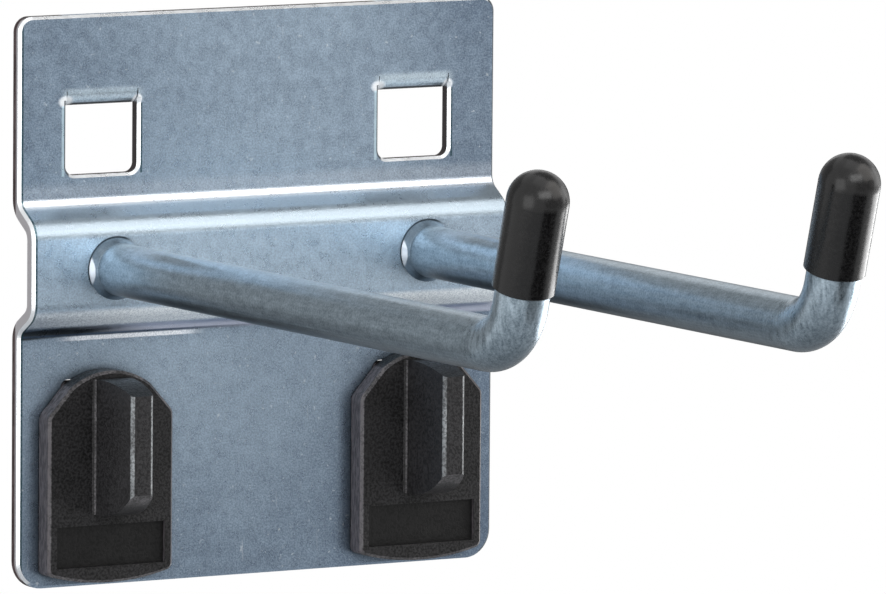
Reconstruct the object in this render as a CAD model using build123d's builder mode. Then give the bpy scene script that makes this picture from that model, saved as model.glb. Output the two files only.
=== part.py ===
from build123d import *
import os
from math import cos, radians, sin, tan

# Double hook for a square-hole tool panel.
# A folded steel plate carries two round rods with capped, upturned ends. Two tabs lanced out of the
# plate hook behind the panel, and two plastic clips push through the plate into the panel's lower holes.
# Frame: the panel's face is the plane Y = 0 and the panel lies on the +Y side. The hooks point to -Y.
# The origin is midway between the centres of the two upper panel holes, +Z is up. Millimetres.

# Panel that the hook fits
hole_pitch = 38.0           # between hole centres, across and down
panel_hole = 10.0           # side of a square hole
panel_gap = 2.0             # room for the panel's sheet behind the plate

# Folded plate
sheet = 1.3
plate_rise = 12.4           # top edge above the upper hole row
side_margin = 10.0          # plate beyond the centre of a hole
bottom_margin = 10.1        # plate below the lower hole row
top_corner_radius = 1.6
bottom_corner_radius = 3.0
edge_bevel = 0.3            # broken edge along the front of the plate and its windows

# Raised band across the plate, level with the rods
rod_drop = 14.2             # rod axis and middle of the band below the upper hole row
band_offset = 3.2           # how far the band stands in front of the plate
band_height = 8.7           # between the bends at the band's own level
band_slope = 57.0           # angle of the sloping walls to the plate
fold_radius = 1.2           # inside radius of every fold of the band

# Windows and the tabs lanced out of them
tab_side_clearance = 0.8    # tab to panel hole, on each side
lance_gap = 0.1             # cut between a tab and its window
window_drop = 4.5           # lower edge of the window below the hole row
window_corner_radius = 1.0
hang_clearance = 0.9        # from the tab's throat to the panel hole's upper edge
tab_bend_radius = 0.3       # inside radius of the tab's two bends
tab_rise = 4.2              # straight tip of the tab above its bends
tab_corner_radius = 1.5

# Slots for the clips
slot_margin = 0.05          # panel hole beyond the slot, at its sides and lower edge
slot_rise = 11.95           # upper edge above the lower hole row
slot_corner_radius = 0.9

# Rods
rod_diameter = 5.6
rod_reach = 84.3            # panel face to the corner where the rod's two axes meet
rod_bend_radius = 6.5       # of the rod's axis
upturn_lean = 16.3          # upturned end leaning outwards from the vertical
upturn_bare = 1.53          # straight rod showing between the bend and the cap
rod_toe_in = 0.7            # corner of the rod nearer to the middle than its root
rod_end_chamfer = 0.6
weld_spread = 0.5           # weld collar beyond the rod's radius
weld_sink = 0.1             # end of the collar's cone below the rod's surface
weld_height = 1.2

# Caps on the upturned ends
cap_wall = 0.36
cap_clearance = 0.03
cap_grip = 9.4              # length of rod inside the cap
cap_rim_bevel = 0.12

# Clips: flange and grip fin in front of the plate
clip_width = 15.0
flange_thickness = 2.2
flange_below = 9.6          # lowest point of the flange below the lower hole row
flange_sag = 1.1            # rounding of the lower edge over its width
shoulder_rise = 8.3         # start of the sloping shoulders above the lower hole row
shoulder_run = 2.7          # width of a shoulder
shoulder_height = 3.0
arch_rise = 1.6             # top of the arch above the shoulders
arch_blend = 1.5            # rounding where the arch meets a shoulder
shoulder_round = 1.2
flange_corner_radius = 0.8
flange_edge_bevel = 0.3
fin_base = 4.0              # thickness at the flange
fin_tip = 2.6               # thickness at the front edge
fin_height = 6.75
fin_margin = 0.8            # from the fin's top to the top of the arch
fin_bottom = 2.2            # below the lower hole row, at the flange
fin_top_fall = 1.2          # how much lower the front edge starts
fin_top_bow = 0.4           # outward bow of the fin's upper end
fin_bottom_lift = 2.6       # how much higher the front edge ends
fin_bottom_bow = 0.9        # outward bow of the fin's lower end
fin_edge_round = 0.45
fin_root_bevel = 0.3        # corner between fin and flange filled in, on both sides
recess_border = 1.0         # flange left on each side of the bare recess
recess_height = 4.4
recess_lift = 1.8           # recess above the flange's lowest point
recess_depth = 0.4

# Clips: block in the plate's slot and split spigot in the panel's hole
clip_seat_gap = 0.1         # flange to plate
clip_slot_clearance = 0.2   # block to slot, on each side
spigot_length = 5.0         # behind the panel face
spigot_clearance = 0.4      # spigot to panel hole, above and below
spring_gap = 3.2            # between the spigot's two legs
spring_gap_depth = 5.6
ridge_height = 0.2          # snap ridge on each leg
ridge_place = 2.6           # ridge behind the panel face
ridge_width = 1.4
spigot_lead = 0.7           # bevel at the spigot's end

# Worked-out sizes and places
half_pitch = hole_pitch / 2
lower_row = -hole_pitch
plate_width = hole_pitch + 2 * side_margin
plate_drop = hole_pitch + bottom_margin
plate_middle = -sheet / 2
plate_front = -sheet
band_front = -sheet - band_offset
band_level = -rod_drop
slope_run = band_offset / tan(radians(band_slope))
fold_axis_radius = fold_radius + sheet / 2
tab_width = panel_hole - 2 * tab_side_clearance
window_width = tab_width + 2 * lance_gap
tab_axis_radius = tab_bend_radius + sheet / 2
tab_level = panel_hole / 2 - hang_clearance - sheet / 2
tab_middle = panel_gap + sheet / 2
lance_end = tab_level + tab_axis_radius
tab_tip_level = lance_end + tab_rise
slot_width = panel_hole - 2 * slot_margin
slot_below = panel_hole / 2 - slot_margin
rod_radius = rod_diameter / 2
upturn_direction = Vector(0, -sin(radians(upturn_lean)), cos(radians(upturn_lean)))
upturn_bend = rod_bend_radius * tan(radians(90 - upturn_lean) / 2)
upturn_length = upturn_bend + upturn_bare + cap_grip
cap_bore_radius = rod_radius + cap_clearance
cap_radius = cap_bore_radius + cap_wall
flange_back = plate_front - clip_seat_gap
flange_front = flange_back - flange_thickness
flange_rise = shoulder_rise + shoulder_height + arch_rise
fin_front = flange_front - fin_height
fin_top = flange_rise - fin_margin
block_back = -clip_slot_clearance
block_width = slot_width - 2 * clip_slot_clearance
block_height = slot_rise + slot_below - 2 * clip_slot_clearance
block_corner_radius = slot_corner_radius - clip_slot_clearance
spigot_width = block_width - 2 * ridge_height
spigot_height = panel_hole - 2 * spigot_clearance
sides = {"left": -half_pitch, "right": half_pitch}
pick_slack = 0.01           # when edges and faces are picked by their place

os.makedirs("parts", exist_ok=True)


def finish(piece, name):
    """Label a finished piece and write it under that name."""
    piece.label = name
    export_step(piece, f"parts/{name}.step")


def rod_corner(centre_x):
    """Point where the axes of a rod's level run and upturned end meet."""
    inward = rod_toe_in * centre_x / half_pitch
    return Vector(centre_x - inward, -rod_reach, band_level)


# Folded plate: one sheet with the raised band, windows, tabs and slots
upper_fold = band_level + band_height / 2 + slope_run
lower_fold = band_level - band_height / 2 - slope_run
with BuildPart() as back_plate:
    with BuildSketch(Plane.YZ):
        with BuildLine():
            FilletPolyline(
                (plate_middle, plate_rise),
                (plate_middle, upper_fold),
                (plate_middle - band_offset, band_level + band_height / 2),
                (plate_middle - band_offset, band_level - band_height / 2),
                (plate_middle, lower_fold),
                (plate_middle, -plate_drop),
                radius=fold_axis_radius,
            )
        trace(line_width=sheet)
    extrude(amount=plate_width / 2, both=True)

    # Outline with rounded corners
    outline_middle = (plate_rise - plate_drop) / 2
    with BuildSketch(Plane.XZ) as outline:
        with Locations((0, outline_middle)):
            Rectangle(plate_width, plate_rise + plate_drop)
        fillet(outline.vertices().group_by(Axis.Y)[-1], top_corner_radius)
        fillet(outline.vertices().group_by(Axis.Y)[0], bottom_corner_radius)
    extrude(amount=sheet + band_offset, both=True, mode=Mode.INTERSECT)
    chamfer(back_plate.edges().filter_by(Axis.X).group_by(Axis.Z)[-1].sort_by(Axis.Y)[0], edge_bevel)

    # Windows with a broken front edge
    with BuildSketch(Plane.XZ) as windows:
        with Locations(*[(x, (tab_level - window_drop) / 2) for x in sides.values()]):
            Rectangle(window_width, tab_level + window_drop)
        fillet(windows.vertices().group_by(Axis.Y)[0], window_corner_radius)
    extrude(amount=sheet, both=True, mode=Mode.SUBTRACT)
    sill_edges = back_plate.edges().filter_by(Axis.X).filter_by_position(
        Axis.Z, -window_drop - pick_slack, -window_drop + pick_slack
    )
    chamfer(sill_edges.group_by(Axis.Y)[0], edge_bevel)

    # Slots that guide the clips
    slot_middle = lower_row + (slot_rise - slot_below) / 2
    with BuildSketch(Plane.XZ):
        with Locations(*[(x, slot_middle) for x in sides.values()]):
            RectangleRounded(slot_width, slot_rise + slot_below, slot_corner_radius)
    extrude(amount=sheet, both=True, mode=Mode.SUBTRACT)

    # Tabs, lanced above the windows, bent back through the panel's holes and up behind its sheet
    with BuildSketch(Plane.XZ):
        with Locations(*[(x, lance_end / 2) for x in sides.values()]):
            Rectangle(window_width, lance_end)
    extrude(amount=sheet, both=True, mode=Mode.SUBTRACT)
    for centre_x in sides.values():
        with BuildSketch(Plane.YZ.offset(centre_x)):
            with BuildLine():
                FilletPolyline(
                    (plate_middle, lance_end + sheet),
                    (plate_middle, tab_level),
                    (tab_middle, tab_level),
                    (tab_middle, tab_tip_level),
                    radius=tab_axis_radius,
                )
            trace(line_width=sheet)
        extrude(amount=tab_width / 2, both=True)
    tab_tips = back_plate.faces().filter_by_position(
        Axis.Z, tab_tip_level - pick_slack, tab_tip_level + pick_slack
    )
    fillet(tab_tips.edges().filter_by(Axis.Y), tab_corner_radius)
finish(back_plate.part, "back_plate")


def hook_rod(centre_x):
    """Round rod butt-welded to the band, with its end bent up and leaning outwards."""
    root = Vector(centre_x, band_front, band_level)
    corner = rod_corner(centre_x)
    end = corner + upturn_direction * upturn_length
    with BuildPart() as rod:
        with BuildLine():
            FilletPolyline(root, corner, end, radius=rod_bend_radius)
        with BuildSketch(Plane(origin=root, x_dir=(1, 0, 0), z_dir=(0, -1, 0))):
            Circle(rod_radius)
        sweep()
        chamfer(rod.faces().sort_by(Axis.Z)[-1].edges(), rod_end_chamfer)

        # Weld collar, a low cone round the root
        with Locations(Plane(origin=root, x_dir=(1, 0, 0), z_dir=(0, -1, 0))):
            Cone(
                rod_radius + weld_spread,
                rod_radius - weld_sink,
                weld_height,
                align=(Align.CENTER, Align.CENTER, Align.MIN),
            )
    return rod.part


def end_cap(centre_x):
    """Thin cap with a round, solid tip, pushed over a rod's upturned end."""
    rim = rod_corner(centre_x) + upturn_direction * (upturn_length - cap_grip)
    across = Vector(1, 0, 0)
    with BuildPart() as cap:
        with BuildSketch(Plane(origin=rim, x_dir=across, z_dir=across.cross(upturn_direction))) as wall:
            with BuildLine():
                dome = CenterArc((0, cap_grip), cap_radius, 0, 90)
                Polyline(
                    dome @ 1,
                    (0, cap_grip + cap_clearance),
                    (cap_bore_radius, cap_grip + cap_clearance),
                    (cap_bore_radius, 0),
                    (cap_radius, 0),
                    dome @ 0,
                )
            make_face()
            chamfer(wall.vertices().group_by(Axis.Y)[0], cap_rim_bevel)
        revolve(axis=Axis(rim, upturn_direction))
    return cap.part


def push_clip(centre_x):
    """Plastic clip: arched flange with a grip fin in front, and a split spigot behind."""
    def upright_plane(y):
        """Upright plane at the depth y, facing the front, centred on the lower hole."""
        return Plane(origin=(centre_x, y, lower_row), x_dir=(1, 0, 0), z_dir=(0, -1, 0))

    half_width = clip_width / 2
    with BuildPart() as clip:
        # Grip fin: side view with bowed ends, thinner towards the front
        with BuildSketch(Plane(origin=(centre_x, 0, lower_row), x_dir=(0, 1, 0), z_dir=(1, 0, 0))):
            with BuildLine():
                top_end = SagittaArc(
                    (fin_front, fin_top - fin_top_fall), (flange_front, fin_top), fin_top_bow
                )
                bottom_end = SagittaArc(
                    (flange_front, -fin_bottom), (fin_front, fin_bottom_lift - fin_bottom), fin_bottom_bow
                )
                Line(top_end @ 1, bottom_end @ 0)
                Line(bottom_end @ 1, top_end @ 0)
            make_face()
        extrude(amount=fin_base, both=True)
        with BuildSketch(Plane.XY.offset(lower_row)):
            with BuildLine():
                Polyline(
                    (centre_x - fin_base / 2 - fin_root_bevel, flange_front),
                    (centre_x - fin_base / 2, flange_front - fin_root_bevel),
                    (centre_x - fin_tip / 2, fin_front),
                    (centre_x + fin_tip / 2, fin_front),
                    (centre_x + fin_base / 2, flange_front - fin_root_bevel),
                    (centre_x + fin_base / 2 + fin_root_bevel, flange_front),
                    close=True,
                )
            make_face()
        extrude(amount=fin_top + fin_bottom, both=True, mode=Mode.INTERSECT)
        fillet(clip.edges().filter_by(Axis.Z).group_by(Axis.Y)[0], fin_edge_round)

        # Flange with an arched top, sloping shoulders and a slightly rounded lower edge
        with BuildSketch(upright_plane(flange_back)) as flange:
            with BuildLine():
                ThreePointArc(
                    (-half_width, flange_sag - flange_below),
                    (0, -flange_below),
                    (half_width, flange_sag - flange_below),
                )
                Polyline(
                    (half_width, flange_sag - flange_below),
                    (half_width, shoulder_rise),
                    (half_width - shoulder_run, shoulder_rise + shoulder_height),
                )
                ThreePointArc(
                    (half_width - shoulder_run, shoulder_rise + shoulder_height),
                    (0, flange_rise),
                    (shoulder_run - half_width, shoulder_rise + shoulder_height),
                )
                Polyline(
                    (shoulder_run - half_width, shoulder_rise + shoulder_height),
                    (-half_width, shoulder_rise),
                    (-half_width, flange_sag - flange_below),
                )
            make_face()
            fillet(flange.vertices().group_by(Axis.Y)[-1], arch_blend)
            fillet(flange.vertices().group_by(Axis.Y)[1], shoulder_round)
            fillet(flange.vertices().group_by(Axis.Y)[0], flange_corner_radius)
        extrude(amount=flange_thickness)
        flange_faces = clip.faces().filter_by(Axis.Y).filter_by_position(
            Axis.Y, flange_front - pick_slack, flange_front + pick_slack
        )
        chamfer(flange_faces.sort_by(SortBy.AREA)[-1].outer_wire().edges(), flange_edge_bevel)
        with BuildSketch(upright_plane(flange_front)):
            with Locations((0, recess_lift + recess_height / 2 - flange_below)):
                Rectangle(clip_width - 2 * recess_border, recess_height)
        extrude(amount=-recess_depth, mode=Mode.SUBTRACT)

        # Block that fills the plate's slot
        with BuildSketch(upright_plane(flange_back)):
            with Locations((0, (slot_rise - slot_below) / 2)):
                RectangleRounded(block_width, block_height, block_corner_radius)
        extrude(amount=flange_back - block_back)

        # Spigot for the panel's hole: two springy legs with snap ridges and a bevelled end
        with BuildSketch(upright_plane(block_back)):
            Rectangle(spigot_width, spigot_height)
        extrude(amount=block_back - spigot_length)
        chamfer(clip.faces().sort_by(Axis.Y)[-1].edges(), spigot_lead)
        with BuildSketch(Plane(origin=(centre_x, 0, lower_row - spigot_height / 2))):
            for leg in (-1, 1):
                with Locations((leg * spigot_width / 2, ridge_place)):
                    Ellipse(ridge_height, ridge_width / 2)
        extrude(amount=spigot_height)
        with BuildSketch(upright_plane(spigot_length)):
            Rectangle(spring_gap, spigot_height)
        extrude(amount=spring_gap_depth, mode=Mode.SUBTRACT)
    return clip.part


for side, centre_x in sides.items():
    finish(hook_rod(centre_x), f"{side}_hook_rod")
    finish(end_cap(centre_x), f"{side}_cap")
    finish(push_clip(centre_x), f"{side}_clip")
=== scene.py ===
from math import cos, pi, radians, sin

import bpy
from mathutils import Matrix, Quaternion, Vector


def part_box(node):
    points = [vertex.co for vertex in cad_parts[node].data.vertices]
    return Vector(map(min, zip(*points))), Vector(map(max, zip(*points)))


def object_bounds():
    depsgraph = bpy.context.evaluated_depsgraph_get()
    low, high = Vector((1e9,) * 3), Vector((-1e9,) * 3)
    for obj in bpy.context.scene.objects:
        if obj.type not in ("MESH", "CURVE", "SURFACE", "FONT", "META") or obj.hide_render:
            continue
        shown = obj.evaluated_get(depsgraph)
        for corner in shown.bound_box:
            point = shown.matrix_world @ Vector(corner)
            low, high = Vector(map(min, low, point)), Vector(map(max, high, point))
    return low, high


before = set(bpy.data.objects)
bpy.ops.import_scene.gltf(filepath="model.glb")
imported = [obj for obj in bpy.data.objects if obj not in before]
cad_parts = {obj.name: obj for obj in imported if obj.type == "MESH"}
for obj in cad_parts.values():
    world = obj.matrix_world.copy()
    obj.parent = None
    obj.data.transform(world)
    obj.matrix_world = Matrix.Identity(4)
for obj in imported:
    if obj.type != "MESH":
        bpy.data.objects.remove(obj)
cad_low, cad_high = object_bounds()

MM = 0.001

# Camera: the photo's angle on the plate, worked out for a picture of 886 by 594
PICTURE_WIDTH = 886
SENSOR_WIDTH = 36.0
FOCAL_PIXELS = 12116.0
VIEW_TURN = 30.71        # degrees to the left of the plate's normal
VIEW_RISE = 6.57         # degrees above the level
VIEW_ROLL = 0.46         # degrees
VIEW_DISTANCE = 1.3
VIEW_REACH = 10.0
VIEW_AIM = Vector((24.0, 0.7, -19.96)) * MM

# Stage: pale floor, soft light all round and a white background
FLOOR_DROP = 150 * MM       # below the lowest point of the object
FLOOR_SIZE = 4.0
FLOOR_COLOUR = (0.78, 0.79, 0.80, 1.0)
FLOOR_FADE = (0.30, 0.50)   # distances from the object where the floor starts to fade and is white
WORLD_COLOUR = (0.86, 0.93, 1.0, 1.0)
WORLD_LIGHT = 0.3
WHITE = (1.0, 1.0, 1.0, 1.0)
WHITE_LEVEL = 1.0

# Softboxes that face the object, each in a direction from its middle
NEUTRAL = (1.0, 1.0, 1.0)
WARM = (1.0, 0.94, 0.88)
SOFTBOXES = {
    "key_softbox": dict(
        direction=(0.60, -0.52, 0.60), distance=0.8, width=0.70, height=0.70, radiance=1.35, colour=WARM
    ),
    "top_softbox": dict(
        direction=(0.15, -0.25, 1.0), distance=0.8, width=0.70, height=0.70, radiance=0.5, colour=NEUTRAL
    ),
    "front_softbox": dict(
        direction=(-0.05, -0.86, 0.48), distance=0.8, width=0.60, height=0.30, radiance=3.2, colour=NEUTRAL
    ),
    "right_softbox": dict(
        direction=(0.96, -0.10, 0.20), distance=0.7, width=0.40, height=0.40, radiance=1.2, colour=NEUTRAL
    ),
    "left_softbox": dict(
        direction=(-0.88, -0.45, 0.05), distance=0.7, width=0.45, height=0.55, radiance=1.4, colour=NEUTRAL
    ),
}

# Black, grey and bright cards that only reflections show, each in a direction from the object's middle
CARDS = {
    "front_card": dict(direction=(0.507, -0.854, -0.06), distance=0.60, width=0.90, height=0.36, level=0.52),
    "low_card": dict(direction=(0.24, -0.80, -0.55), distance=0.28, width=0.24, height=0.13, level=0.02),
    "under_card": dict(direction=(-0.02, 0.86, -0.50), distance=0.34, width=0.50, height=0.24, level=0.16),
    "back_card": dict(direction=(-0.33, 0.92, 0.22), distance=0.40, width=0.50, height=0.62, level=0.37),
    "far_card": dict(direction=(0.62, 0.79, -0.114), distance=0.50, width=0.42, height=0.34, level=0.0),
    "roof_card": dict(direction=(0.507, 0.243, 0.827), distance=0.45, width=0.36, height=0.30, level=0.34),
    "right_card": dict(
        direction=(0.93, 0.10, -0.34), distance=0.30, width=0.23, height=0.11, level=6.0, roll=16
    ),
}

# Places on the sheet that its material picks out, in millimetres
HALF_PITCH = 19.0           # windows, rods and clips on each side of the middle
ROD_LEVEL = -14.2           # height of the rods and of the band's middle
PLATE_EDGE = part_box("back_plate")[0].x / MM     # left edge of the plate
EDGE_BEVEL = 0.3
EDGE_LINE = 0.2             # width of the painted shade line beside the left edge
WINDOW_DARK_LINE = 0.15     # width of the painted shade line right of the windows
WINDOW_LIGHT_LINE = 0.25    # width of the painted highlight line left of the windows
LINE_SOFTNESS = 0.08
LEFT_WALL = (1.0, 0.5)      # from the left edge, where its wall starts and is full
WALL_MIDDLE = -0.65         # half way through the sheet
WALL_MIDDLE_SOFTNESS = 0.15
PALE_MIDDLE = (27.0, 8.0)       # from the middle line, where the painted light on the middle starts and is full
PALE_MIDDLE_FOOT = (-12.0, -4.0)    # height where the painted light on the middle starts and is full
RIGHT_END = (12.0, 31.0)    # across, where the painted shade towards the right end starts and is full
WELD_SHADOW_RADIUS = (3.3, 3.4)    # of the painted shadow line round the welds
WINDOW_SIDE = 4.3           # half the width of a window
WINDOW_LOW, WINDOW_HIGH = -4.5, 2.8
WINDOW_EDGE = WINDOW_SIDE + EDGE_BEVEL
TAB_BEND = (3.5, 4.2)       # height of the bends above the windows
TAB_SIDE = (5.2, 3.9)       # from a window's middle, where the painted highlight on its bend starts and is full
TAB_GAP_SIDE = (4.7, 4.4)   # from a window's middle, where the gaps beside its tab start and are full
TAB_GAP_HEIGHT = 0.4        # over the windows' upper edge, where those gaps are full
LIP_HEIGHT = 0.25           # of the painted shade on the lip under that bend
LIP_SIDE = (4.6, 4.2)
CORNER_RISE = 0.5           # of the painted corner highlights over the windows' upper edge
CORNER_SPOTS = ((-WINDOW_SIDE, 1.1, 0.75), (WINDOW_SIDE, 0.55, 0.6))    # place, half width, half height
UPPER_EDGE = (-6.2, -6.0)   # height above which upper edges get a painted highlight
UPPER_FOLD = (-7.7, -7.1)   # height of the fold above the band
UPPER_FOLD_FADE = (34.0, -20.0)     # across, from the dimmer right to the bright left of the fold's painted highlight
BAND = (-18.0, -10.4)       # height of the band's flat
LOWER_BEND = (-20.1, -18.8)     # height of the painted highlight stripe on the band's lower bend
LOWER_BEND_FADE = (-31.0, -14.0)    # across, from the dimmer left of that painted highlight on
LOWER_SLOPE = (-21.3, -20.6)    # height of the sloping wall below it
LOWER_SLOPE_DARK_END = (-22.0, -31.0)   # across, where the painted dark left end of the wall starts to sink and is sunk
LOWER_SLOPE_SHADE = (-127.0, -116.0)    # along the slanting limit of the wall's painted dark left end
LOWER_SLOPE_SLANT = 5.0     # across for one of height, of that limit
FOOT_LINE_FADE = (4.0, -12.0)   # across, where the painted shadow line at the wall's foot starts and is full
LOWER_FOLD = (-21.9, -21.6)     # height of the fold where that wall meets the flat
LOWER_FOLD_LINE = (-21.0, -10.0)    # across, the part of that fold with a painted highlight
LOWER_FLAT = (-21.0, -23.0)     # height where the lower flat starts and is full
LOWER_FLAT_LIGHT = (-48.0, -20.0)   # height, from the dark foot to the light top of the painted light on the lower flat
LOWER_FLAT_SHADE = (2.0, 16.0)  # across, towards the painted shade on its right

# Places on the other pieces, in millimetres
FLANGE_FRONT = -3.6         # front face of the clips' flanges
FIN_FRONT = -10.35          # front edge of the clips' fins
WELD_FRONT = -5.7           # front end of the weld collars
WELD_HEIGHT = 1.2
CRESCENT_HEIGHT = (-0.3, 0.1)   # from the rod's level
CRESCENT_SIDE = (-1.5, -2.4)    # across from the rod's middle
UPTURN_LEAN = 16.3          # degrees, of the rods' upturned ends
UPTURN_START = (-74.0, -81.0)   # along the rods, where the level run becomes the bend

# Parts of the direction that a face looks in, where a mask starts and is full
BACK_FACING = (-0.1, 0.1)       # Y, from the front's look to the back's
CUT_FACING = (0.35, 0.2)        # Y without its sign, of the sheet's cut walls
FRONT_FACING = (-0.2, -0.4)     # Y, of the sheet's front edges
LEFT_FACING = (-0.30, -0.45)    # X
RIGHT_FACING = (0.30, 0.45)     # X
UP_FACING = (0.30, 0.45)        # Z
UNDERSIDE_FACING = (-0.2, -0.95)    # Z, of the rods' painted underside shade
CLIP_TOP_FACING = (0.25, 0.6)       # Z
CLIP_FIELD_FACING = (-0.8, -0.95)   # Y
CLIP_WALL_FACING = (0.5, 0.7)       # X without its sign

# Rounded edges of the clips: Y at the wall's side, Y at the front's side, Z without its sign
FLANGE_EDGE_FACING = ((-0.42, -0.55), (-0.96, -0.88), (0.85, 0.74))
FIN_EDGE_FACING = ((-0.22, -0.4), (-0.995, -0.97), (0.5, 0.3))

# How far the painted shade reaches out of corners, and the openness where it is full and is gone
SHEET_CORNER_SHADE_REACH = 5 * MM
SHEET_CORNER_SHADE_FADE = (0.35, 0.85)
ROD_CORNER_SHADE_REACH = 4 * MM
ROD_CORNER_SHADE_FADE = (0.35, 0.8)

# Roughness, metal and height of the fine relief
ZINC_ROUGHNESS = (0.26, 0.34)
ZINC_METAL = 0.9
DULL_ROUGHNESS = 0.75       # of the sheet's walls, and of its edges and places with painted light and shade
DULL_METAL = 0.2
ROD_ROUGHNESS = (0.26, 0.36)
ROD_METAL = 0.88
CAP_ROUGHNESS = (0.21, 0.29)
CLIP_ROUGHNESS = (0.40, 0.55)
PLASTIC_METAL = 0.0
ZINC_RELIEF = 0.006 * MM
CAP_RELIEF = 0.03 * MM
CLIP_RELIEF = 0.012 * MM

# Colours of the sheet
SHEET_DARK = (0.175, 0.235, 0.325, 1)
SHEET_LIGHT = (0.64, 0.80, 0.95, 1)
SHEET_FLECK = (0.78, 0.86, 0.92, 1)
SHEET_PIT = (0.08, 0.11, 0.14, 1)
SHEET_SCRATCH = (0.70, 0.76, 0.82, 1)
# Painted shade in the sheet's corners
SHEET_CORNER_SHADE = (0.09, 0.115, 0.14, 1)
# Painted shadow line round the welds
WELD_SHADOW = (0.05, 0.07, 0.09, 1)
# Painted highlights on the band's bends and a painted reflection on the slope above it
UPPER_FOLD_HIGHLIGHT = (0.80, 0.85, 0.90, 1)
UPPER_SLOPE_REFLECTION = (0.33, 0.39, 0.43, 1)
ABOVE_FOLD_HIGHLIGHT = (0.86, 0.92, 1.0, 1)
LOWER_BEND_HIGHLIGHT = (0.92, 0.97, 1.0, 1)
# Painted reflection on the wall below the band, with a painted shadow line at its foot and a painted
# highlight on its fold
LOWER_SLOPE_DARK_REFLECTION = (0.06, 0.075, 0.09, 1)
LOWER_SLOPE_LIT_REFLECTION = (0.50, 0.54, 0.66, 1)
FOOT_SHADOW_LINE = (0.08, 0.12, 0.19, 1)
LOWER_FOLD_HIGHLIGHT = (0.95, 0.97, 1.0, 1)
# Painted highlight on the bends above the windows, painted shade on their lips and painted highlights at
# their corners
TAB_BEND_HIGHLIGHT = (0.76, 0.90, 1.0, 1)
LIP_SHADE = (0.05, 0.055, 0.065, 1)
CORNER_HIGHLIGHT = (0.93, 0.95, 0.97, 1)
# Painted shade lines and a painted highlight line beside the edges
PAINTED_SHADE_LINE = (0.03, 0.085, 0.105, 1)
PAINTED_HIGHLIGHT_LINE = (0.70, 0.90, 1.0, 1)
CUT_WALL = (0.055, 0.045, 0.045, 1)
OUTLINE_WALL_DARK = (0.05, 0.03, 0.03, 1)
OUTLINE_WALL_BROWN = (0.13, 0.09, 0.09, 1)
# Painted highlight on the front half of the cut wall at the left edge
OUTLINE_WALL_FRONT_HIGHLIGHT = (0.60, 0.57, 0.58, 1)
# Painted highlights and painted shade on the front edges
EDGE_HIGHLIGHT = (0.88, 0.90, 0.92, 1)
EDGE_SHADE = (0.06, 0.075, 0.09, 1)

# Colours of the rods
ROD_DARK = (0.125, 0.17, 0.205, 1)
ROD_LIGHT = (0.50, 0.60, 0.68, 1)
# Painted shade in the rods' corners
ROD_CORNER_SHADE = (0.07, 0.08, 0.09, 1)
# Painted shade on the rods' undersides
ROD_UNDERSIDE_SHADE = (0.045, 0.06, 0.075, 1)
COLLAR_GREY = (0.14, 0.19, 0.24, 1)
# Painted highlight crescent at the rods' roots
CRESCENT_HIGHLIGHT = (0.92, 0.93, 0.96, 1)

# Colours and gloss of the caps and clips
CAP_DARK = (0.001, 0.001, 0.001, 1)
CAP_LIGHT = (0.006, 0.0055, 0.006, 1)
CAP_SPECULAR = 0.42
CLIP_DARK = (0.002, 0.002, 0.002, 1)
CLIP_LIGHT = (0.044, 0.042, 0.044, 1)
# Painted shade on the clips' tops and sunk field
CLIP_TOP_SHADE = (0.004, 0.004, 0.004, 1)
CLIP_FIELD_SHADE = (0.003, 0.003, 0.003, 1)
# Painted light on the clips' outer walls
CLIP_WALL_LIGHT = (0.145, 0.13, 0.14, 1)
# Painted highlights on the clips' rounded edges
CLIP_EDGE_HIGHLIGHT = (0.17, 0.16, 0.165, 1)
CLIP_FIN_HIGHLIGHT = (0.46, 0.48, 0.49, 1)
CLIP_SPECULAR = 0.25


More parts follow.
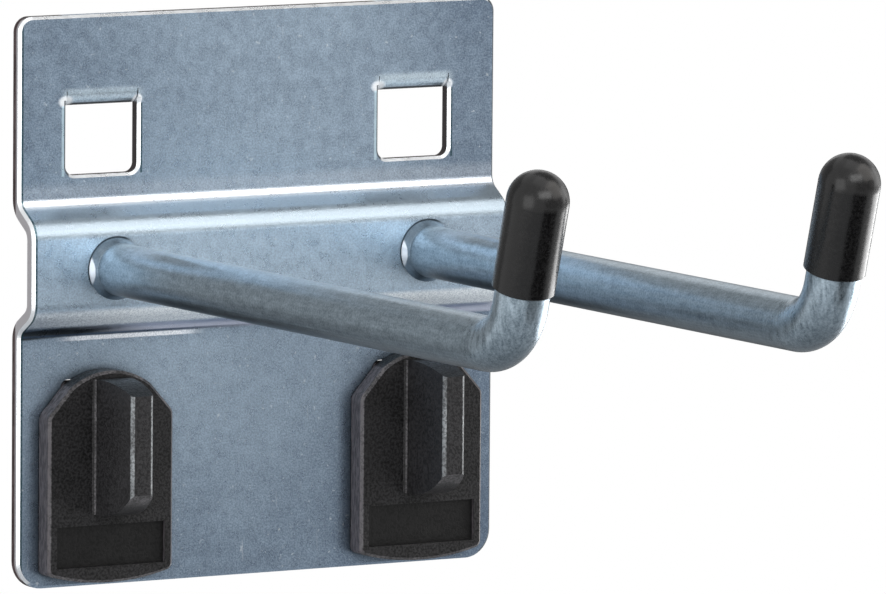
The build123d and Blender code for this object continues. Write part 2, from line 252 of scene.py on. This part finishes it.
class Nodes:
    """Short calls for making and linking the nodes of one material or world."""

    def __init__(self, owner):
        owner.use_nodes = True
        self.tree = owner.node_tree
        self.tree.nodes.clear()

    def add(self, kind, inputs=None, **settings):
        """New node, with its settings and with values or links for its inputs."""
        node = self.tree.nodes.new("ShaderNode" + kind)
        for name, value in settings.items():
            setattr(node, name, value)
        for key, value in (inputs or {}).items():
            if isinstance(value, bpy.types.NodeSocket):
                self.tree.links.new(value, node.inputs[key])
            else:
                node.inputs[key].default_value = value
        return node

    def math(self, operation, first, second=0.0):
        """One sum on two values or sockets."""
        return self.add("Math", {0: first, 1: second}, operation=operation).outputs[0]

    def ramp(self, value, start, end, first=0.0, last=1.0):
        """Value carried smoothly from one range to another, and held outside it."""
        node = self.add(
            "MapRange",
            {"Value": value, 1: start, 2: end, 3: first, 4: last},
            interpolation_type="SMOOTHSTEP",
        )
        return node.outputs[0]

    def spread(self, mask, first, last=1.0):
        """Mask from 0 to 1 carried smoothly to another range."""
        return self.ramp(mask, 0.0, 1.0, first, last)

    def product(self, *masks):
        """Product of masks and shares."""
        result = masks[0]
        for mask in masks[1:]:
            result = self.math("MULTIPLY", result, mask)
        return result

    def most(self, *masks):
        """Largest of masks."""
        result = masks[0]
        for mask in masks[1:]:
            result = self.math("MAXIMUM", result, mask)
        return result

    def window(self, value, low, high, soft):
        """1 between two values, with soft ends."""
        return self.product(self.ramp(value, low - soft, low), self.ramp(value, high + soft, high))

    def blend(self, factor, first, second):
        """Mix of two colours."""
        return self.add("Mix", {"Factor": factor, 6: first, 7: second}, data_type="RGBA").outputs[2]

    def paint(self, base, over, *masks, share=1.0):
        """Colour laid over a base colour where all the masks are 1."""
        return self.blend(self.product(*masks, share), base, over)

    def tone(self, dark, light, *shares):
        """Colour between dark and light, from values with their shares of the whole."""
        total = 0.0
        for value, share in shares:
            total = self.math("ADD", self.math("MULTIPLY", value, share), total)
        return self.blend(total, dark, light)

    def noise(self, place, scale, detail, roughness=0.55):
        """Noise from 0 to 1 over a place."""
        inputs = {"Vector": place, "Scale": scale, "Detail": detail, "Roughness": roughness}
        return self.add("TexNoise", inputs).outputs["Fac"]

    def patches(self, place, scale, low, high, detail=2.0, roughness=0.55):
        """Noise over a place, 0 below a low level and 1 above a high one."""
        return self.ramp(self.noise(place, scale, detail, roughness), low, high)

    def millimetres(self, scale=(1, 1, 1), turn=(0, 0, 0)):
        """Place on the object in millimetres, turned and stretched by a scale."""
        place = self.add("TexCoord").outputs["Object"]
        node = self.add("Mapping", {"Vector": place, "Rotation": turn, "Scale": Vector(scale) / MM})
        return node.outputs[0]

    def parts(self, vector):
        """X, Y and Z of a vector."""
        return self.add("SeparateXYZ", {0: vector}).outputs

    def facing(self):
        """X, Y and Z of the direction that the bare face looks in."""
        return self.parts(self.add("NewGeometry").outputs["True Normal"])

    def length(self, first, second):
        """Length of a step with two sides."""
        step = self.add("CombineXYZ", {0: first, 1: second}).outputs[0]
        return self.add("VectorMath", {0: step}, operation="LENGTH").outputs["Value"]

    def from_pitch(self, x):
        """Distance across from the nearer of the two centres at half the pitch."""
        side = self.math("SIGN", x)
        return self.math("SUBTRACT", x, self.math("MULTIPLY", side, HALF_PITCH))

    def open_sky(self, reach):
        """1 in the open and 0 deep in corners, within a reach."""
        return self.add("AmbientOcclusion", {"Distance": reach}, samples=8).outputs["AO"]


def new_material(name):
    """Empty material and its nodes."""
    material = bpy.data.materials.new(name)
    return material, Nodes(material)


def close_material(nodes, colour, roughness, metallic, height, bump, specular=0.5):
    """Principled shader with colour, roughness, metal and relief."""
    relief = nodes.add("Bump", {"Height": height, "Distance": bump, "Strength": 1.0})
    inputs = {
        "Base Color": colour,
        "Roughness": roughness,
        "Metallic": metallic,
        "Specular IOR Level": specular,
        "Normal": relief.outputs[0],
    }
    shader = nodes.add("BsdfPrincipled", inputs)
    nodes.add("OutputMaterial", {"Surface": shader.outputs[0]})


def bare_zinc(nodes, place, x, z, mottle, grain):
    """Colour of the sheet's zinc, with flecks, pits and scratches, painted shade in its corners and painted
    light and shade across its flats.
    """
    cloud = nodes.patches(place, scale=0.05, low=0.35, high=0.65, detail=3.0)
    middle = nodes.ramp(nodes.math("ABSOLUTE", x), *PALE_MIDDLE)
    upper_middle = nodes.product(middle, nodes.ramp(z, *PALE_MIDDLE_FOOT))
    band = nodes.window(z, *BAND, soft=1.0)
    lower_flat = nodes.ramp(z, *LOWER_FLAT)
    # Tone, with painted light on the upper middle, on the band and towards the top of the lower flat, and
    # painted shade at the right end and on the right of the lower flat
    colour = nodes.tone(
        SHEET_DARK,
        SHEET_LIGHT,
        (cloud, 0.12),
        (mottle, 0.08),
        (grain, 0.34),
        (upper_middle, 0.18),
        (band, 0.50),
        (nodes.product(lower_flat, nodes.ramp(z, *LOWER_FLAT_LIGHT)), 0.20),
        (nodes.product(lower_flat, nodes.ramp(x, *LOWER_FLAT_SHADE)), -0.12),
        (nodes.ramp(x, *RIGHT_END), -0.16),
    )
    flecks = nodes.patches(place, scale=1.8, low=0.68, high=0.76)
    colour = nodes.paint(colour, SHEET_FLECK, flecks, share=0.55)
    pits = nodes.patches(nodes.millimetres(turn=(0.7, 0.3, 0.5)), scale=1.5, low=0.71, high=0.78)
    colour = nodes.paint(colour, SHEET_PIT, pits, share=0.2)
    slanting = nodes.millimetres(scale=(2.4, 1, 0.16), turn=(0, 0.6, 0))
    scratches = nodes.patches(slanting, scale=1.0, low=0.72, high=0.78)
    colour = nodes.paint(colour, SHEET_SCRATCH, scratches, share=0.3)
    # Painted shade in the corners, where the surface is less open
    open_sky = nodes.ramp(nodes.open_sky(SHEET_CORNER_SHADE_REACH), *SHEET_CORNER_SHADE_FADE)
    return nodes.blend(open_sky, SHEET_CORNER_SHADE, colour)


def weld_shadow_line(nodes, colour, across, z):
    """Painted shadow line round the upper left of each weld."""
    above = nodes.math("SUBTRACT", z, ROD_LEVEL)
    shadow_line = nodes.window(nodes.length(across, above), *WELD_SHADOW_RADIUS, soft=0.12)
    upper_left = nodes.ramp(nodes.math("SUBTRACT", above, across), 0.6, 2.4)
    return nodes.paint(colour, WELD_SHADOW, shadow_line, upper_left)


def painted_bend_light(nodes, colour, x, z, patchy):
    """Painted highlights on the band's bends and above its upper fold, and a painted reflection on the slope.
    Gives the colour and the lower bend's mask.
    """
    upper_fold = nodes.window(z, *UPPER_FOLD, soft=0.3)
    upper_fade = nodes.ramp(x, *UPPER_FOLD_FADE, first=0.6)
    colour = nodes.paint(colour, UPPER_FOLD_HIGHLIGHT, upper_fold, upper_fade)
    upper_slope = nodes.window(z, BAND[1], UPPER_FOLD[0] - 0.3, soft=0.5)
    colour = nodes.paint(colour, UPPER_SLOPE_REFLECTION, upper_slope, share=0.7)
    above_fold = nodes.window(z, UPPER_FOLD[1], UPPER_FOLD[1] + 1.0, soft=1.2)
    colour = nodes.paint(colour, ABOVE_FOLD_HIGHLIGHT, above_fold, patchy, share=0.3)
    lower_fade = nodes.ramp(x, *LOWER_BEND_FADE, first=0.55)
    lower_bend = nodes.product(nodes.window(z, *LOWER_BEND, soft=0.6), lower_fade, patchy)
    return nodes.paint(colour, LOWER_BEND_HIGHLIGHT, lower_bend), lower_bend


def wall_below_band(nodes, colour, x, z, patchy):
    """Wall below the band with a painted reflection dark at its left end, and painted shadow and highlight
    lines at its foot.

    Gives the colour and the highlight line's mask.
    """
    along = nodes.math("ADD", x, nodes.math("MULTIPLY", z, LOWER_SLOPE_SLANT))
    slope_reflection = nodes.blend(nodes.ramp(along, *LOWER_SLOPE_SHADE), LOWER_SLOPE_DARK_REFLECTION, LOWER_SLOPE_LIT_REFLECTION)
    sinking = nodes.ramp(x, *LOWER_SLOPE_DARK_END, last=0.3)
    slope = nodes.window(nodes.math("ADD", z, sinking), *LOWER_SLOPE, soft=0.3)
    colour = nodes.blend(slope, colour, slope_reflection)
    foot_line = nodes.window(z, LOWER_SLOPE[0] - 0.1, LOWER_SLOPE[0], soft=0.12)
    colour = nodes.paint(colour, FOOT_SHADOW_LINE, foot_line, nodes.ramp(x, *FOOT_LINE_FADE), share=0.85)
    fold = nodes.window(z, *LOWER_FOLD, soft=0.15)
    fold_highlight_line = nodes.product(fold, nodes.window(x, *LOWER_FOLD_LINE, soft=4.0), patchy)
    return nodes.paint(colour, LOWER_FOLD_HIGHLIGHT, fold_highlight_line), fold_highlight_line


def window_bends(nodes, colour, across, aside, z, patchy):
    """Painted highlights on the bends above the windows and at their corners, and painted shade along the
    lower lip.

    Gives the colour and one mask for the lips and corners.
    """
    tab_bend = nodes.window(z, *TAB_BEND, soft=0.7)
    colour = nodes.paint(colour, TAB_BEND_HIGHLIGHT, tab_bend, nodes.ramp(aside, *TAB_SIDE), patchy)
    lip_height = nodes.window(z, WINDOW_HIGH, WINDOW_HIGH + LIP_HEIGHT, soft=0.15)
    dull = nodes.product(lip_height, nodes.ramp(aside, *LIP_SIDE))
    colour = nodes.paint(colour, LIP_SHADE, dull)
    for corner, half_width, half_height in CORNER_SPOTS:
        off = nodes.math("DIVIDE", nodes.math("SUBTRACT", across, corner), half_width)
        over = nodes.math("DIVIDE", nodes.math("SUBTRACT", z, WINDOW_HIGH + CORNER_RISE), half_height)
        spot = nodes.ramp(nodes.length(off, over), 1.1, 0.5)
        colour = nodes.paint(colour, CORNER_HIGHLIGHT, spot)
        dull = nodes.most(dull, spot)
    return colour, dull


def edge_lines(nodes, colour, x, across, z, patchy):
    """Painted shade lines right of the left edge and of the windows, and a painted highlight line left of the
    windows.
    """
    edge = PLATE_EDGE + EDGE_BEVEL
    beside_edge = nodes.window(x, edge, edge + EDGE_LINE, LINE_SOFTNESS)
    window_height = nodes.window(z, WINDOW_LOW, WINDOW_HIGH, soft=0.1)
    right_of_window = nodes.window(across, WINDOW_EDGE, WINDOW_EDGE + WINDOW_DARK_LINE, LINE_SOFTNESS)
    shade_line = nodes.most(beside_edge, nodes.product(right_of_window, window_height))
    colour = nodes.paint(colour, PAINTED_SHADE_LINE, shade_line, patchy)
    left_of_window = nodes.window(across, -WINDOW_EDGE - WINDOW_LIGHT_LINE, -WINDOW_EDGE, LINE_SOFTNESS)
    return nodes.paint(colour, PAINTED_HIGHLIGHT_LINE, left_of_window, window_height, share=0.8)


def cut_walls(nodes, colour, x, y, z, aside, facing):
    """Dark walls where the sheet is cut, with a painted highlight on the front half at the left edge.

    The gaps beside the tabs keep the zinc. Gives the colour and the walls' mask.
    """
    above_window = nodes.ramp(z, WINDOW_HIGH, WINDOW_HIGH + TAB_GAP_HEIGHT)
    tab_gap = nodes.product(above_window, nodes.ramp(aside, *TAB_GAP_SIDE))
    cut = nodes.ramp(nodes.math("ABSOLUTE", facing["Y"]), *CUT_FACING)
    wall = nodes.product(cut, nodes.math("SUBTRACT", 1.0, tab_gap))
    colour = nodes.paint(colour, CUT_WALL, wall)
    streaky = nodes.patches(nodes.millimetres(scale=(1, 1.5, 0.4)), scale=1.6, low=0.4, high=0.62, detail=3.0)
    wall_colour = nodes.blend(streaky, OUTLINE_WALL_DARK, OUTLINE_WALL_BROWN)
    behind = nodes.ramp(y, WALL_MIDDLE - WALL_MIDDLE_SOFTNESS, WALL_MIDDLE + WALL_MIDDLE_SOFTNESS)
    wall_colour = nodes.blend(behind, OUTLINE_WALL_FRONT_HIGHLIGHT, wall_colour)
    left_wall = nodes.ramp(nodes.math("SUBTRACT", x, PLATE_EDGE), *LEFT_WALL)
    return nodes.paint(colour, wall_colour, wall, left_wall), wall


def lit_and_shaded_edges(nodes, colour, z, facing):
    """Painted highlights on front edges facing left and up, and painted shade on those facing right.

    Gives the colour and the shaded edges' mask.
    """
    in_front = nodes.ramp(facing["Y"], *FRONT_FACING)
    leftwards = nodes.ramp(facing["X"], *LEFT_FACING)
    upwards = nodes.product(nodes.ramp(facing["Z"], *UP_FACING), nodes.ramp(z, *UPPER_EDGE))
    colour = nodes.paint(colour, EDGE_HIGHLIGHT, nodes.most(leftwards, upwards), in_front)
    shaded_edge = nodes.product(nodes.ramp(facing["X"], *RIGHT_FACING), in_front)
    return nodes.paint(colour, EDGE_SHADE, shaded_edge), shaded_edge


def zinc_sheet():
    """Zinc-plated sheet: bluish grey and grainy, with dark cut walls, and painted light and shade on its
    edges, bends and flats.
    """
    material, nodes = new_material("zinc_sheet")
    place = nodes.millimetres()
    x, y, z = nodes.parts(place)
    across = nodes.from_pitch(x)
    aside = nodes.math("ABSOLUTE", across)
    facing = nodes.facing()
    mottle = nodes.patches(place, scale=0.7, low=0.25, high=0.75, detail=4.0, roughness=0.6)
    grain = nodes.patches(place, scale=5.5, low=0.3, high=0.7, roughness=0.6)
    patchy = nodes.spread(grain, first=0.6)
    back = bare_zinc(nodes, place, x, z, mottle, grain)
    front = weld_shadow_line(nodes, back, across, z)
    front, lower_bend = painted_bend_light(nodes, front, x, z, patchy)
    front, fold_highlight_line = wall_below_band(nodes, front, x, z, patchy)
    front, lips_and_corners = window_bends(nodes, front, across, aside, z, patchy)
    front = edge_lines(nodes, front, x, across, z, patchy)
    colour = nodes.blend(nodes.ramp(facing["Y"], *BACK_FACING), front, back)
    colour, wall = cut_walls(nodes, colour, x, y, z, aside, facing)
    colour, shaded_edge = lit_and_shaded_edges(nodes, colour, z, facing)
    dull = nodes.most(wall, shaded_edge, lips_and_corners, lower_bend, fold_highlight_line)
    roughness = nodes.spread(dull, nodes.spread(mottle, *ZINC_ROUGHNESS), DULL_ROUGHNESS)
    metallic = nodes.spread(dull, ZINC_METAL, DULL_METAL)
    close_material(nodes, colour, roughness, metallic, height=grain, bump=ZINC_RELIEF)
    return material


def zinc_rod():
    """Zinc-plated drawn rod: greyer than the sheet, with fine streaks along the rod, painted shade in corners
    and underneath, and a painted highlight on the weld.
    """
    material, nodes = new_material("zinc_rod")
    place = nodes.millimetres()
    x, y, z = nodes.parts(place)
    along_run = nodes.noise(nodes.millimetres(scale=(1.6, 0.2, 1.6)), scale=1.5, detail=3.0)
    run_streaks = nodes.ramp(along_run, 0.2, 0.8, first=0.25, last=0.75)
    leaning = nodes.millimetres(scale=(1.6, 1.6, 0.2), turn=(radians(UPTURN_LEAN), 0, 0))
    end_streaks = nodes.patches(leaning, scale=1.5, low=0.25, high=0.75, detail=3.0)
    at_end = nodes.ramp(y, *UPTURN_START)
    streaks = nodes.add("Mix", {"Factor": at_end, 2: run_streaks, 3: end_streaks}).outputs[0]
    mottle = nodes.patches(place, scale=0.8, low=0.3, high=0.7, detail=4.0, roughness=0.65)
    grain = nodes.patches(place, scale=5.0, low=0.3, high=0.7, roughness=0.6)
    colour = nodes.tone(ROD_DARK, ROD_LIGHT, (streaks, 0.45), (mottle, 0.2), (grain, 0.35))
    # Painted shade in the corners
    open_sky = nodes.ramp(nodes.open_sky(ROD_CORNER_SHADE_REACH), *ROD_CORNER_SHADE_FADE)
    colour = nodes.blend(open_sky, ROD_CORNER_SHADE, colour)

    # Painted shade along the underside
    underside = nodes.ramp(nodes.facing()["Z"], *UNDERSIDE_FACING)
    colour = nodes.paint(colour, ROD_UNDERSIDE_SHADE, underside, share=0.68)

    # Darker weld collar, with a painted highlight crescent on the left of each root
    up_collar = nodes.ramp(y, WELD_FRONT, WELD_FRONT + WELD_HEIGHT)
    colour = nodes.paint(colour, COLLAR_GREY, nodes.ramp(up_collar, 0.0, 0.2), share=0.6)
    middle_height = nodes.window(nodes.math("SUBTRACT", z, ROD_LEVEL), *CRESCENT_HEIGHT, soft=1.5)
    left_side = nodes.ramp(nodes.from_pitch(x), *CRESCENT_SIDE)
    crescent_width = nodes.product(middle_height, left_side, 0.72)
    crescent = nodes.ramp(nodes.math("ADD", up_collar, crescent_width), 1.0, 1.2)
    colour = nodes.paint(colour, CRESCENT_HIGHLIGHT, crescent)
    roughness = nodes.spread(streaks, *ROD_ROUGHNESS)
    close_material(nodes, colour, roughness, ROD_METAL, height=streaks, bump=ZINC_RELIEF)
    return material


def cap_vinyl():
    """Glossy black vinyl with a slightly uneven skin."""
    material, nodes = new_material("cap_vinyl")
    place = nodes.millimetres()
    uneven = nodes.noise(place, scale=0.5, detail=2.0)
    grain = nodes.patches(place, scale=3.5, low=0.3, high=0.7)
    colour = nodes.tone(CAP_DARK, CAP_LIGHT, (uneven, 0.5), (grain, 0.5))
    roughness = nodes.spread(grain, *CAP_ROUGHNESS)
    close_material(nodes, colour, roughness, PLASTIC_METAL, uneven, CAP_RELIEF, CAP_SPECULAR)
    return material


def rounded_edge(nodes, facing_y, facing_z, limits):
    """Mask of a clip's rounded edge, between its wall and its front, and not above or below."""
    wall_side, front_side, above_or_below = limits
    return nodes.product(
        nodes.ramp(facing_y, *wall_side),
        nodes.ramp(facing_y, *front_side),
        nodes.ramp(nodes.math("ABSOLUTE", facing_z), *above_or_below),
    )


def clip_plastic():
    """Near-black moulded plastic with a fine grain, painted highlights on its edges, painted light on its
    walls and painted shade on its tops and sunk field.
    """
    material, nodes = new_material("clip_plastic")
    place = nodes.millimetres()
    y = nodes.parts(place)["Y"]
    grain = nodes.patches(place, scale=3.6, low=0.38, high=0.62, detail=3.0, roughness=0.6)
    cloud = nodes.patches(place, scale=0.35, low=0.35, high=0.65, detail=3.0)
    facing_x, facing_y, facing_z = nodes.facing()
    on_fin = nodes.ramp(y, FLANGE_FRONT - 0.2, FLANGE_FRONT - 0.6)
    colour = nodes.tone(CLIP_DARK, CLIP_LIGHT, (cloud, 0.15), (grain, 0.55), (on_fin, 0.3))
    # Painted shade on the tops and on the sunk field round the fin
    colour = nodes.paint(colour, CLIP_TOP_SHADE, nodes.ramp(facing_z, *CLIP_TOP_FACING))
    sunk = nodes.ramp(y, FLANGE_FRONT + 0.15, FLANGE_FRONT + 0.35)
    colour = nodes.paint(colour, CLIP_FIELD_SHADE, sunk, nodes.ramp(facing_y, *CLIP_FIELD_FACING), share=0.85)

    # Painted light on the outer walls of the flange
    wall_noise = nodes.noise(nodes.millimetres(scale=(1, 2, 0.5)), scale=1.8, detail=3.0)
    streaky = nodes.ramp(wall_noise, 0.4, 0.6, first=0.45)
    sideways = nodes.ramp(nodes.math("ABSOLUTE", facing_x), *CLIP_WALL_FACING)
    on_flange = nodes.ramp(y, FLANGE_FRONT, FLANGE_FRONT + 0.1)
    colour = nodes.paint(colour, CLIP_WALL_LIGHT, sideways, on_flange, streaky)

    # Painted highlights on the rounded edges: round the flange but not at the fin's root, and bright along
    # the fin's front
    patchy = nodes.product(nodes.spread(grain, first=0.35), nodes.spread(cloud, first=0.5))
    flange_edge = rounded_edge(nodes, facing_y, facing_z, FLANGE_EDGE_FACING)
    near_root = nodes.window(y, FLANGE_FRONT - 0.3, FLANGE_FRONT - 0.02, soft=0.02)
    root = nodes.product(near_root, nodes.ramp(y, FLANGE_FRONT - 0.2, FLANGE_FRONT - 0.1))
    colour = nodes.paint(colour, CLIP_EDGE_HIGHLIGHT, flange_edge, patchy, nodes.math("SUBTRACT", 1.0, root))
    fin_edge = rounded_edge(nodes, facing_y, facing_z, FIN_EDGE_FACING)
    at_front = nodes.ramp(y, FIN_FRONT + 0.7, FIN_FRONT + 0.5)
    colour = nodes.paint(colour, CLIP_FIN_HIGHLIGHT, fin_edge, at_front, patchy)
    roughness = nodes.spread(grain, *CLIP_ROUGHNESS)
    close_material(nodes, colour, roughness, PLASTIC_METAL, grain, CLIP_RELIEF, CLIP_SPECULAR)
    return material


def dress(material, *names):
    """Give CAD nodes a material in place of their plain one."""
    for name in names:
        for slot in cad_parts[name].material_slots:
            slot.material = material


def seen(nodes):
    """1 for rays that show the background: from the camera, from gloss and through glass."""
    path = nodes.add("LightPath").outputs
    return nodes.most(path["Is Camera Ray"], path["Is Glossy Ray"], path["Is Transmission Ray"])


def make_world():
    """Soft light all round, and a white background."""
    world = bpy.data.worlds.new("studio")
    bpy.context.scene.world = world
    nodes = Nodes(world)
    light = nodes.add("Background", {"Color": WORLD_COLOUR, "Strength": WORLD_LIGHT})
    white = nodes.add("Background", {"Color": WHITE, "Strength": WHITE_LEVEL})
    mixed = nodes.add("MixShader", {0: seen(nodes), 1: light.outputs[0], 2: white.outputs[0]})
    nodes.add("OutputWorld", {"Surface": mixed.outputs[0]})


def make_floor():
    """Pale floor that fades to the white background away from the object."""
    middle = (cad_low + cad_high) / 2
    bpy.ops.mesh.primitive_plane_add(size=FLOOR_SIZE, location=(middle.x, middle.y, cad_low.z - FLOOR_DROP))
    floor = bpy.context.object
    floor.name = "floor"
    material, nodes = new_material("floor")
    away = nodes.add("VectorMath", {0: nodes.add("TexCoord").outputs["Object"]}, operation="LENGTH")
    fade = nodes.product(nodes.ramp(away.outputs["Value"], *FLOOR_FADE), seen(nodes))
    matt = nodes.add("BsdfDiffuse", {"Color": FLOOR_COLOUR})
    white = nodes.add("Emission", {"Color": WHITE, "Strength": WHITE_LEVEL})
    mixed = nodes.add("MixShader", {0: fade, 1: matt.outputs[0], 2: white.outputs[0]})
    nodes.add("OutputMaterial", {"Surface": mixed.outputs[0]})
    floor.data.materials.append(material)


def face_object(thing, direction, distance, roll=0):
    """Put a thing in a direction from the object's middle, facing it, and roll it by some degrees."""
    direction = Vector(direction).normalized()
    thing.location = (cad_low + cad_high) / 2 + direction * distance
    thing.rotation_mode = "QUATERNION"
    thing.rotation_quaternion = direction.to_track_quat("Z", "Y") @ Quaternion((0, 0, 1), radians(roll))


def make_softbox(name, direction, distance, width, height, radiance, colour):
    """Rectangular area lamp that faces the object."""
    lamp = bpy.data.lights.new(name, "AREA")
    lamp.shape = "RECTANGLE"
    lamp.size = width
    lamp.size_y = height
    lamp.energy = radiance * pi * width * height
    lamp.color = colour
    box = bpy.data.objects.new(name, lamp)
    bpy.context.scene.collection.objects.link(box)
    face_object(box, direction, distance)
    box.visible_camera = False


def make_card(name, direction, distance, width, height, level, roll=0):
    """Card that faces the object and shows in reflections only."""
    bpy.ops.mesh.primitive_plane_add(size=1.0)
    card = bpy.context.object
    card.name = name
    card.scale = (width, height, 1.0)
    face_object(card, direction, distance, roll)
    material, nodes = new_material(name)
    glow = nodes.add("Emission", {"Color": WHITE, "Strength": level})
    nodes.add("OutputMaterial", {"Surface": glow.outputs[0]})
    card.data.materials.append(material)
    card.visible_camera = False
    card.visible_diffuse = False
    card.visible_shadow = False


def make_camera():
    """Camera at the photo's angle."""
    turn = radians(VIEW_TURN)
    rise = radians(VIEW_RISE)
    roll = radians(VIEW_ROLL)
    right = Vector((cos(turn), -sin(turn), 0))
    up = Vector((sin(turn) * sin(rise), cos(turn) * sin(rise), cos(rise)))
    back = Vector((-sin(turn) * cos(rise), -cos(turn) * cos(rise), sin(rise)))
    tilted_right = cos(roll) * right + sin(roll) * up
    tilted_up = cos(roll) * up - sin(roll) * right
    axes = Matrix((tilted_right, tilted_up, back)).transposed().to_4x4()
    camera = bpy.data.objects.new("camera", bpy.data.cameras.new("camera"))
    camera.data.sensor_width = SENSOR_WIDTH
    camera.data.lens = FOCAL_PIXELS * SENSOR_WIDTH / PICTURE_WIDTH
    camera.data.clip_end = VIEW_REACH
    camera.matrix_world = Matrix.Translation(VIEW_AIM + back * VIEW_DISTANCE) @ axes
    bpy.context.scene.collection.objects.link(camera)
    bpy.context.scene.camera = camera


dress(zinc_sheet(), "back_plate")
dress(zinc_rod(), "left_hook_rod", "right_hook_rod")
dress(cap_vinyl(), "left_cap", "right_cap")
dress(clip_plastic(), "left_clip", "right_clip")

make_world()
make_floor()
for name, settings in SOFTBOXES.items():
    make_softbox(name, **settings)
for name, settings in CARDS.items():
    make_card(name, **settings)
make_camera()
bpy.context.scene.view_settings.view_transform = "Standard"
